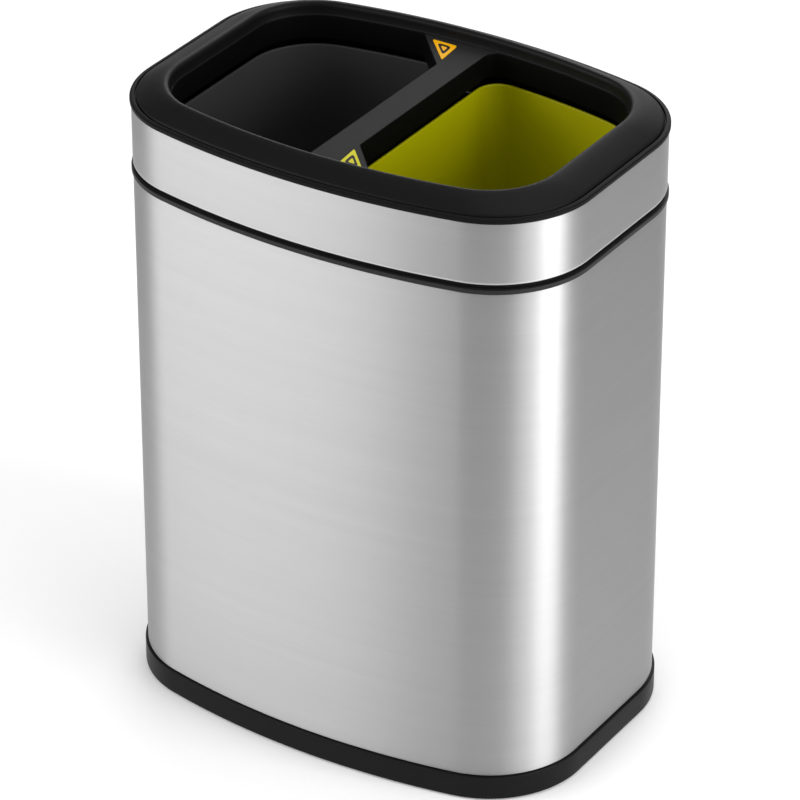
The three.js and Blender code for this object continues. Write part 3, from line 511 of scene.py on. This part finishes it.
def rubber():
    """Rubber, moulded. It is dull, with fine dust in its pores that makes it look dry."""
    material, tree, output, place = blank("Rubber_moulded")
    # Pores are under 0.1 mm wide, and are drawn about 1 mm wide so that they show.
    pores = add(tree, "ShaderNodeTexNoise", {"Scale": 900, "Detail": 3}, {"Vector": (place, "Object")})
    colour = add(
        tree,
        "ShaderNodeMix",
        {"data_type": "RGBA", 6: linear("#131313"), 7: linear("#232322")},
        {0: (pores, 0)},
    )
    height = add(tree, "ShaderNodeBump", {"Strength": 0.3, "Distance": 0.0003}, {"Height": (pores, 0)})
    set_shader(
        tree,
        output,
        {"Roughness": 0.85, "Specular IOR Level": 0.3},
        {"Base Color": (colour, 2), "Normal": (height, 0)},
    )
    return material


def zinc_plated():
    """Steel screw, zinc plated. The thin plating is bright with a cloudy, slightly blue bloom."""
    material, tree, output, place = blank("Steel_zinc_plated")
    # The cloudy patches are about 1.5 mm wide.
    bloom = add(tree, "ShaderNodeTexNoise", {"Scale": 700, "Detail": 3}, {"Vector": (place, "Object")})
    colour = add(
        tree,
        "ShaderNodeMix",
        {"data_type": "RGBA", 6: linear("#8d9296"), 7: linear("#b4b8ba")},
        {0: (bloom, 0)},
    )
    rough = add(tree, "ShaderNodeMapRange", {"To Min": 0.25, "To Max": 0.45}, {"Value": (bloom, 0)})
    set_shader(tree, output, {"Metallic": 1.0}, {"Base Color": (colour, 2), "Roughness": (rough, 0)})
    return material


def printed_film(name, dark, light):
    """Vinyl film, printed and laminated. The clear layer gives a soft gloss over flat ink, with a
    faint orange-peel from the roller."""
    material, tree, output, place = blank(name)
    # The orange-peel is about 2 mm from crest to crest.
    peel = add(tree, "ShaderNodeTexNoise", {"Scale": 500, "Detail": 2}, {"Vector": (place, "Object")})
    colour = add(
        tree, "ShaderNodeMix", {"data_type": "RGBA", 6: linear(dark), 7: linear(light)}, {0: (peel, 0)}
    )
    height = add(tree, "ShaderNodeBump", {"Strength": 0.08, "Distance": 0.0002}, {"Height": (peel, 0)})
    set_shader(
        tree,
        output,
        {"Roughness": 0.45, "Specular IOR Level": 0.06, "Coat Weight": 0.02, "Coat Roughness": 0.25},
        {"Base Color": (colour, 2), "Normal": (height, 0)},
    )
    return material


STEEL = brushed_stainless("Stainless_steel_brushed", "#acacac", "#bebebe", 0.5, 0.9)
# The fold's steel is lighter and smoother than the wall's: a painted highlight along the band's lower edge.
FOLD_PAINTED_HIGHLIGHT = brushed_stainless("Stainless_steel_fold_painted_highlight", "#bebebe", "#cacaca", 0.4, 0.6)
RIM_PLASTIC = moulded("Polypropylene_black_satin", "#0a0a0a", "#121212", 0.46, 1.2, 0.4, 0.12)
# The field's coarser, matte grain is its own; its lighter colour than the rim's is painted light on its
# upward face.
FIELD_PAINTED_LIGHT = moulded("Polypropylene_black_grained_painted_light", "#1b1b1b", "#282828", 0.62, 1.3, 0.4, 0.1)
# A darker copy of the lid's black on the lip and its groove: painted shade in the groove.
LIP_PAINTED_SHADE = moulded("Polypropylene_black_lip_painted_shade", "#080808", "#0e0e0e", 0.5, 1.2, 0.35, 0.09)
# A darker copy of the lid's black on the mouths' skirts: painted shade inside the mouths.
SKIRT_PAINTED_SHADE = moulded("Polypropylene_black_inner_painted_shade", "#050505", "#080808", 0.6, 1.0, 0.2, 0.05)
BLACK_PLASTIC = moulded("Polypropylene_black_moulded", "#0c0c0c", "#121212", 0.42, 0.8, 0.12, 0.12)
# The collar's black is lighter than the plinth's: painted light on its lit face.
COLLAR_PAINTED_LIGHT = moulded("Polypropylene_black_collar_painted_light", "#191919", "#222222", 0.5, 1.0, 0.25, 0.24)
LINER_BLACK = moulded("Polypropylene_black_liner", "#363636", "#3e3e3e", 0.42, 0.8, 0.08, 0.2)
LINER_OLIVE = moulded("Polypropylene_olive_liner", "#acaa00", "#b5b300", 0.42, 0.8, 0.08, 0.2)
GALVANISED, RUBBER, ZINC = galvanised(), rubber(), zinc_plated()
ORANGE_FILM = printed_film("Vinyl_film_orange", "#e9a800", "#f0b004")
LIME_FILM = printed_film("Vinyl_film_lime", "#c4be10", "#cdc71a")
PRINT = printed_film("Vinyl_ink_dark", "#120d04", "#1b1408")


def install(made, body, slot, *nodes):
    """The piece rides on its body and stands for its CAD nodes, which are hidden. The slot is not used."""
    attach(made, body)
    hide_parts(*nodes)
    return made


# ------------------------------------------------------------ the body
def fold_highlight_skin(bottom, proud):
    """A painted highlight line along a folded lower edge, as a lighter skin over the sheet."""
    return [
        *bend((BAND_FOLD - proud, bottom + BAND_FOLD), BAND_FOLD + HIGHLIGHT_SKIN, 180, 250),
        (BAND_FOLD - proud, bottom + SINK),
        (BAND_FOLD / 2 - proud, bottom + HIGHLIGHT_HEIGHT - SINK),
        (-proud - HIGHLIGHT_SKIN / 2, bottom + HIGHLIGHT_HEIGHT),
    ]


def steel_wall():
    """The steel wall: both edges are folded inwards to a round hem, and the sheet's ends lap in a
    seam up the inside of the back."""
    fold_start, fold_end = SHELL_BOTTOM + HEM, SHELL_TOP - HEM
    wall = Moulding().ring(BODY, [
        *bend((SHEET, SHELL_BOTTOM + SHEET), SHEET, 180, 270),
        *bend((SHEET, SHELL_BOTTOM + SHEET), SHEET, 270, 360)[1:],
        (2 * SHEET, fold_start - SHEET),
        (SHEET, fold_start),
        (SHEET, fold_end),
        (2 * SHEET, fold_end + SHEET),
        *bend((SHEET, SHELL_TOP - SHEET), SHEET, 0, 90),
        *bend((SHEET, SHELL_TOP - SHEET), SHEET, 90, 180)[1:],
    ])
    wall.rib(bow_station(1, 0), [
        (SHEET / 2, fold_start),
        (2 * SHEET, fold_start + SHEET),
        (2 * SHEET, fold_end - 2 * HEM),
        (SHEET / 2, fold_end - 2 * HEM + SHEET),
    ], SEAM_LAP)
    return install(wall.piece("steel_wall", [STEEL]), "body", "brushed_stainless", "body_shell")


def collar():
    """The dark ring that caps the steel, with a snap bead on its skirt and gussets inside."""
    low, under = SHELL_TOP + GAP, COLLAR_TOP - COLLAR_WALL
    skirt_bottom, bead_top = SHELL_TOP - COLLAR_SKIRT, SHELL_TOP - HEM - GAP
    skirt_outer = 2 * SHEET + GAP
    skirt_inner = skirt_outer + COLLAR_WALL
    half, edge, inner_edge = COLLAR_WALL / 2, COLLAR_EDGE, COLLAR_INNER_EDGE
    ring = Moulding().ring(BODY, [
        (-COLLAR_PROUD, low),
        *bend((edge - COLLAR_PROUD, COLLAR_TOP - edge), edge, 180, 90),
        *bend((COLLAR_INNER - inner_edge, COLLAR_TOP - inner_edge), inner_edge, 90, 0),
        *bend((COLLAR_INNER - inner_edge, under - COLLAR_WALL + inner_edge), inner_edge, 0, -90),
        (COLLAR_INNER - COLLAR_WALL, under - COLLAR_WALL),
        (COLLAR_INNER - COLLAR_WALL, under),
        (skirt_inner, under),
        (skirt_inner, skirt_bottom),
        (skirt_outer, skirt_bottom),
        (skirt_outer - SNAP_BEAD, bead_top - 2 * SNAP_BEAD),
        (skirt_outer - SNAP_BEAD, bead_top - SNAP_BEAD),
        (skirt_outer, bead_top),
        (skirt_outer, low),
    ])
    for station in even_stations(RIB_COUNT):
        ring.rib(station, [
            (skirt_inner - half, under + half),
            (skirt_inner - half, skirt_bottom + 2 * COLLAR_WALL),
            (COLLAR_INNER - half, under - COLLAR_WALL),
            (COLLAR_INNER - half, under + half),
        ], RIB)
    return install(ring.piece("collar", [COLLAR_PAINTED_LIGHT]), "body", "black_pp", "top_collar")


def plinth():
    """The moulded plinth: a ribbed channel that opens downwards, with sockets for the feet."""
    roof, inner_bottom = PLINTH_TOP - PLINTH_WALL, PLINTH_BOTTOM + FOOT_HEIGHT
    edge = PLINTH_EDGE
    ring = Moulding().ring(BODY, [
        *bend((edge - PLINTH_PROUD, PLINTH_BOTTOM + edge), edge, 180, 270),
        (PLINTH_WALL - PLINTH_PROUD, PLINTH_BOTTOM),
        (PLINTH_WALL - PLINTH_PROUD, roof),
        (RING_UPSTAND + PLINTH_WALL, roof),
        (RING_UPSTAND + PLINTH_WALL, SEAT_UNDER),
        (RING_INNER - PLINTH_WALL, SEAT_UNDER),
        (RING_INNER - PLINTH_WALL, inner_bottom),
        (RING_INNER, inner_bottom),
        (RING_INNER, SEAT_TOP),
        (RING_UPSTAND, SEAT_TOP),
        (RING_UPSTAND, PLINTH_TOP),
        *bend((edge - PLINTH_PROUD, PLINTH_TOP - edge), edge, 90, 180),
    ])
    half = PLINTH_WALL / 2
    for station in even_stations(RIB_COUNT):
        ring.rib(station, [
            (half - PLINTH_PROUD, inner_bottom),
            (RING_INNER - half, inner_bottom),
            (RING_INNER - half, SEAT_UNDER + half),
            (RING_UPSTAND + half, SEAT_UNDER + half),
            (RING_UPSTAND + half, roof + half),
            (half - PLINTH_PROUD, roof + half),
        ], RIB)
    for x, y in FOOT_PLACES:
        hole = PLUG_RADIUS + GAP
        ring.sleeve(x, y, SOCKET_RADIUS, hole, FOOT_HEIGHT + GAP, SEAT_UNDER + half)
    for station in SCREW_PLACES:
        x, y = inwards(station, (RING_UPSTAND + RING_INNER) / 2)
        low = SEAT_UNDER - PLINTH_BOSS_RISE
        ring.sleeve(x, y, PLINTH_BOSS_RADIUS, PLINTH_BOSS_HOLE, low, SEAT_UNDER + SINK)
    return install(ring.piece("plinth", [BLACK_PLASTIC]), "body", "black_pp", "base_ring")


# ------------------------------------------------------------ the liners
def liner(name, body, stations, material, slot, node):
    """A tapered bucket with a beaded rim, on a foot that keeps its floor clear."""
    slope = LINER_TAPER / (LINER_TOP - LINER_BOTTOM)
    floor = LINER_BOTTOM + LINER_FOOT + LINER_WALL
    edge, bead_bottom = LINER_INSET - LINER_BEAD, LINER_TOP - LINER_BEAD_HEIGHT

    def outer(z):
        return LINER_INSET + (LINER_TOP - z) * slope

    inner_foot, foot = outer(floor) + LINER_WALL, outer(LINER_BOTTOM)
    half, lip = LINER_WALL / 2, LINER_LIP_ROUND
    cove, turn = LINER_FLOOR_ROUND, LINER_FOOT_ROUND
    bucket = Moulding().cup(stations, [
        *bend((inner_foot + cove, floor + cove), cove, 270, 180, 6),
        (LINER_INSET + LINER_WALL, LINER_TOP - half),
        *bend((LINER_INSET + half, LINER_TOP - half), half, 0, 90)[1:],
        *bend((edge + lip, LINER_TOP - lip), lip, 90, 180),
        *curve((edge, bead_bottom + lip), (edge, bead_bottom), (outer(bead_bottom), bead_bottom), 5),
        (outer(LINER_BOTTOM + turn), LINER_BOTTOM + turn),
        *bend((foot + turn, LINER_BOTTOM + turn), turn, 180, 270)[1:],
        (foot + LINER_FOOT_WIDTH, LINER_BOTTOM),
        (foot + LINER_FOOT_WIDTH, LINER_BOTTOM + LINER_FOOT),
    ])
    return install(bucket.piece(name, [material]), body, slot, node)


# ------------------------------------------------------------ the lid
def lid_moulding():
    """One moulding: the lip over the band's edge, the domed slope and its crest, the sunken field
    with its divider and two mouths, and the hidden skirt, ribs and screw bosses beneath."""
    lip_inner, slot_roof = -BAND_PROUD - GAP, BAND_TOP + GAP
    lip_top, slope_foot = RIM_EDGE + LIP_RISE, RIM_EDGE + SLOPE_RISE
    groove_floor, groove_end = lip_top - GROOVE_DEPTH, LIP_INSET + GROOVE_WIDTH
    slope = curve(
        (groove_end + GAP, slope_foot),
        (CREST_INSET - CROWN_RUN, CREST_TOP - CROWN_DROP),
        (CREST_INSET, CREST_TOP),
        SLOPE_STEPS,
    )
    crest_end = CREST_INSET + CREST_WIDTH
    crest = curve(
        (CREST_INSET, CREST_TOP),
        (crest_end, CREST_TOP),
        (crest_end, CREST_TOP - CREST_DROP),
        CREST_STEPS,
    )
    under = [(inset, z - LID_WALL - GAP) for inset, z in reversed(slope[2:-2:2])]
    join = CREST_FOOT + GAP
    lip = [
        (lip_inner, RIM_EDGE),
        *bend((LIP_EDGE - LIP_PROUD, RIM_EDGE + LIP_EDGE), LIP_EDGE, 270, 180),
        *curve((-LIP_PROUD, RIM_EDGE + LIP_FACE), (-LIP_PROUD, lip_top - 0.7), (-0.1, lip_top - 0.5), 6),
        *curve((LIP_INSET - 0.4, lip_top), (LIP_INSET + 0.1, lip_top), (LIP_INSET + 0.2, lip_top - 0.5), 4),
        (LIP_INSET + 0.3, groove_floor),
        (groove_end, groove_floor),
    ]
    rest = [
        *curve((groove_end + 0.1, slope_foot - 0.9), (groove_end + 0.2, slope_foot), slope[1], 5)[:-1],
        *slope[1:],
        *crest[1:],
        (CREST_FOOT - 0.2, FIELD_TOP + 0.9),
        (CREST_FOOT, FIELD_TOP + 0.35),
        (CREST_FOOT + 0.12, FIELD_TOP + 0.1),
        (join, FIELD_TOP),
        (join, FIELD_BOTTOM),
        (CREST_FOOT - LID_WALL, FIELD_BOTTOM),
        (CREST_FOOT - LID_WALL, CREST_TOP - LID_WALL - GAP),
        *under,
        (SKIRT_INNER, RIM_EDGE + GAP),
        (SKIRT_INNER, SKIRT_BOTTOM),
        (SKIRT_OUTER, SKIRT_BOTTOM),
        (SKIRT_OUTER, slot_roof),
        (lip_inner, slot_roof),
    ]
    in_rim, in_field, in_skirt, in_lip = range(4)  # the order of the piece's materials
    frame_ring = Moulding().ring(LID, lip + rest, [in_lip] * len(lip) + [in_rim] * len(rest))
    mouths, recesses = (LEFT_MOUTH, RIGHT_MOUTH), [marker_loop(side, 2 * GAP) for side in (1, -1)]
    holes = [loop(mouth, MOUTH_INSET - MOUTH_EDGE) for mouth in mouths]
    frame_ring.slab([loop(LID, join), *holes, *recesses], FIELD_BOTTOM, FIELD_TOP, in_field)
    for recess in recesses:
        frame_ring.slab([recess], FIELD_BOTTOM, FIELD_TOP - MARKER_RECESS, in_field)
    outer = MOUTH_INSET - MOUTH_WALL
    for mouth in mouths:
        frame_ring.ring(mouth, [
            *bend((MOUTH_INSET - MOUTH_FOOT, MOUTH_BOTTOM + MOUTH_FOOT), MOUTH_FOOT, 270, 360),
            *bend((MOUTH_INSET - MOUTH_EDGE, FIELD_TOP - MOUTH_EDGE), MOUTH_EDGE, 0, 90),
            (MOUTH_INSET - MOUTH_EDGE, FIELD_BOTTOM + SINK),
            (outer, FIELD_BOTTOM + SINK),
            *bend((outer + MOUTH_FOOT, MOUTH_BOTTOM + MOUTH_FOOT), MOUTH_FOOT, 180, 270),
        ], in_skirt)
    # The ribs run into each wall that they meet, about to its middle.
    rib_bottom, rib_top = FIELD_TOP - RIB_DEPTH, (FIELD_BOTTOM + FIELD_TOP) / 2
    rib_start, rib_end = (SKIRT_OUTER + SKIRT_INNER) / 2, MOUTH_INSET - MOUTH_WALL / 2
    half = LID_WALL / 2
    rib_profile = [
        (rib_start, rib_bottom),
        (rib_end, rib_bottom),
        (rib_end, rib_top),
        (CREST_FOOT - half, rib_top),
        (CREST_FOOT - half, CREST_TOP - LID_WALL),
        *[(inset, z + half) for inset, z in under],
        (rib_start, RIM_EDGE),
    ]
    for station in even_stations(RIB_COUNT):
        draw_in = END_DRAW_IN * abs(math.cos(station[2]))
        profile = [(inset + draw_in * slope_share(inset), z) for inset, z in rib_profile]
        frame_ring.rib(station, profile, RIB)
    boss_top = RIM_EDGE + BOSS_RISE
    for station in LID_SCREW_PLACES:
        x, y = inwards(station, BOSS_INSET)
        frame_ring.sleeve(x, y, BOSS_RADIUS, BOSS_CORE, BAND_BOTTOM, boss_top)
        frame_ring.rib(station, [
            (rib_start, SKIRT_BOTTOM),
            (BOSS_INSET - BOSS_CORE, SKIRT_BOTTOM),
            (BOSS_INSET - BOSS_CORE, boss_top),
            (rib_start, RIM_EDGE),
        ], RIB)
    web_reach = bow_y(MOUTH_INSET, DIVIDER_WIDTH / 2) - CUT_CORNER_DEPTH
    web_end = (DIVIDER_WIDTH - MOUTH_WALL) / 2
    for k in range(WEB_COUNT):
        y = ((k + 0.5) / WEB_COUNT - 0.5) * 2 * web_reach
        frame_ring.rib((web_end, y, 0), [
            (0, rib_bottom),
            (2 * web_end, rib_bottom),
            (2 * web_end, rib_top),
            (0, rib_top),
        ], RIB)
    made = frame_ring.piece("lid_moulding", [RIM_PLASTIC, FIELD_PAINTED_LIGHT, SKIRT_PAINTED_SHADE, LIP_PAINTED_SHADE])
    return install(made, "lid", "grained_pp", "lid_frame")


def band():
    """The brushed steel band, with its lower edge turned in under the frame's skirt."""
    inner = BAND_SHEET - BAND_PROUD
    bottom, top = BAND_BOTTOM, BAND_TOP
    strip = Moulding().ring(BODY, [
        *bend((BAND_FOLD - BAND_PROUD, bottom + BAND_FOLD), BAND_FOLD, 180, 270),
        (inner + BAND_TURN_IN, bottom),
        (inner + BAND_TURN_IN, bottom + BAND_SHEET),
        (inner, bottom + BAND_SHEET),
        (inner, top),
        (-BAND_PROUD, top),
    ])
    # A lighter skin along the fold: a painted highlight.
    strip.ring(BODY, fold_highlight_skin(bottom, BAND_PROUD), 1)
    return install(strip.piece("band", [STEEL, FOLD_PAINTED_HIGHLIGHT]), "lid", "brushed_stainless", "lid_band")


# ------------------------------------------------------------ the markers
def marker_corners(side):
    """The three corners of the rear (1) or front (-1) marker, beside the divider."""
    x = -DIVIDER_WIDTH / 2 - MARKER_OFFSET
    y = bow_y(CREST_FOOT + GAP, DIVIDER_WIDTH / 2) - MARKER_MARGIN
    corners = [(x, y), (x - MARKER_SHORT, y), (x + MARKER_SPLAY, y - MARKER_LONG)]
    return [Vector((side * a, side * b)) for a, b in corners]


def rounded(corners, radius, steps=7):
    """A polygon with each corner rounded off."""
    points = []
    for i, here in enumerate(corners):
        before, after = corners[i - 1], corners[(i + 1) % len(corners)]
        start, end = [here + (other - here).normalized() * radius for other in (before, after)]
        points += [tuple(p) for p in curve(start, here, end, steps)]
    return points


def marker_loop(side, grow):
    """The outline of a marker, or of its recess when it is grown."""
    corners = marker_corners(side)
    middle = sum(corners, Vector((0, 0))) / 3
    return [
        tuple(middle + (Vector(p) - middle) * (1 + grow / (Vector(p) - middle).length))
        for p in rounded(corners, MARKER_ROUND)
    ]


def marker(name, side, film, slot, node):
    """A colour marker of laminated film in its recess. A plain rounded three-cornered ring is
    printed in its middle."""
    low = FIELD_TOP - MARKER_RECESS + GAP
    top = low + MARKER_THICK
    plate = Moulding().slab([marker_loop(side, -GAP / 2)], low, top - PRINT_RISE)
    corners = marker_corners(side)
    middle = sum(corners, Vector((0, 0))) / 3
    ring = [
        rounded([middle + (corner - middle) * share for corner in corners], rounding)
        for share, rounding in (PRINT_OUTER, PRINT_INNER)
    ]
    plate.slab(ring, top - PRINT_THICK, top, 1)
    return install(plate.piece(name, [film, PRINT]), "lid", slot, node)


steel_wall()
collar()
plinth()
liner("bucket_left", "liner_left", LEFT_LINER, LINER_BLACK, "liner_black", "liner_left")
liner("bucket_right", "liner_right", RIGHT_LINER, LINER_OLIVE, "liner_olive", "liner_right")
lid_moulding()
band()
marker("marker_rear", 1, ORANGE_FILM, "marker_orange", "marker_left")
marker("marker_front", -1, LIME_FILM, "marker_lime", "marker_right")

for name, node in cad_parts.items():
    if name.startswith("foot_"):
        kept = RUBBER
    elif "screw" in name:
        kept = ZINC
    elif name == "floor_panel":
        kept = GALVANISED
    else:
        kept = BLACK_PLASTIC
    if not node.hide_render:
        node.data.materials.clear()
        node.data.materials.append(kept)


# ------------------------------------------------------------ studio
# Angles are in degrees, and lengths in metres.
LAMP_AIM, VIEW_AIM = Vector((0, 0, 0.22)), Vector((0, 0, 0.2191))
VIEW_AZIMUTH, VIEW_ELEVATION, VIEW_DISTANCE = 32.656, 30.4357, 3.2022
FILM_WIDTH, LENS, LENS_SHIFT = 36, 211.58, 0.00144  # the first two in mm
FLOOR_REACH, FLOOR_GLOW, ROOM_LIGHT = 9, 0.08, 0.26


def toward(azimuth, elevation):
    """The direction to a point round the bin. Azimuth 0 is in front and 90 is to the right."""
    a, e = math.radians(azimuth), math.radians(elevation)
    return Vector((math.sin(a) * math.cos(e), -math.cos(a) * math.cos(e), math.sin(e)))


def floor():
    """A plain pale floor, large enough to fill the view. It shows a little paler than it is lit, to
    the camera and in metal alike, so that it nears the white of a studio sweep."""
    bm = bmesh.new()
    bmesh.ops.create_grid(bm, x_segments=8, y_segments=8, size=FLOOR_REACH)
    mesh = bpy.data.meshes.new("studio_floor")
    bm.to_mesh(mesh)
    bm.free()
    material, tree, output, _ = blank("Floor_painted_pale")
    rays = add(tree, "ShaderNodeLightPath")
    seen = rays, "Is Camera Ray"
    for kind in ("Is Glossy Ray", "Is Transmission Ray"):
        either = add(tree, "ShaderNodeMath", {"operation": "MAXIMUM"}, {0: seen, 1: (rays, kind)})
        seen = either, 0
    glow = add(tree, "ShaderNodeMath", {"operation": "MULTIPLY", 1: FLOOR_GLOW}, {0: seen})
    set_shader(
        tree,
        output,
        {
            "Base Color": linear("#fcfcfc"),
            "Emission Color": linear("#ffffff"),
            "Roughness": 0.9,
            "Specular IOR Level": 0.1,
        },
        {"Emission Strength": (glow, 0)},
    )
    mesh.materials.append(material)
    made = bpy.data.objects.new("studio_floor", mesh)
    bpy.context.scene.collection.objects.link(made)


def softbox(name, azimuth, elevation, distance, width, height, power):
    """A soft lamp that faces the bin's middle."""
    data = bpy.data.lights.new(name, "AREA")
    data.shape, data.size, data.size_y, data.energy = "RECTANGLE", width, height, power
    lamp = bpy.data.objects.new(name, data)
    lamp.location = LAMP_AIM + toward(azimuth, elevation) * distance
    lamp.rotation_mode = "QUATERNION"
    lamp.rotation_quaternion = toward(azimuth, elevation).to_track_quat("Z", "Y")
    lamp.visible_camera = False
    bpy.context.scene.collection.objects.link(lamp)


def sky():
    """A plain grey-white room round the studio."""
    world = bpy.data.worlds.new("studio_room")
    bpy.context.scene.world = world
    world.use_nodes = True
    tree = world.node_tree
    tree.nodes.clear()
    output = add(tree, "ShaderNodeOutputWorld")
    room = add(tree, "ShaderNodeBackground", {"Color": linear("#ffffff"), "Strength": ROOM_LIGHT})
    tree.links.new(room.outputs[0], output.inputs[0])


def camera():
    """The photograph's view: from the front right, about thirty degrees above."""
    data = bpy.data.cameras.new("photo_view")
    data.sensor_width, data.lens, data.shift_x = FILM_WIDTH, LENS, LENS_SHIFT
    data.clip_start, data.clip_end = 0.1, 60
    made = bpy.data.objects.new("photo_view", data)
    back = toward(VIEW_AZIMUTH, VIEW_ELEVATION)
    made.location = VIEW_AIM + back * VIEW_DISTANCE
    made.rotation_mode = "QUATERNION"
    made.rotation_quaternion = back.to_track_quat("Z", "Y")
    bpy.context.scene.collection.objects.link(made)
    bpy.context.scene.camera = made


floor()
# Each lamp's azimuth, elevation, distance, width, height and power in watts.
softbox("softbox_left", -40, 22, 2.4, 2.5, 1.6, 42)
softbox("softbox_right", 90, 16, 2.2, 1.0, 1.8, 35)
softbox("softbox_fill", 65, 16, 2.2, 0.7, 1.8, 7)
softbox("softbox_top", 130, 76, 2.6, 2.2, 2.2, 24)
softbox("softbox_rear", 205, 26, 2.8, 1.9, 1.4, 24)
sky()
camera()
bpy.context.scene.view_settings.view_transform = "Standard"
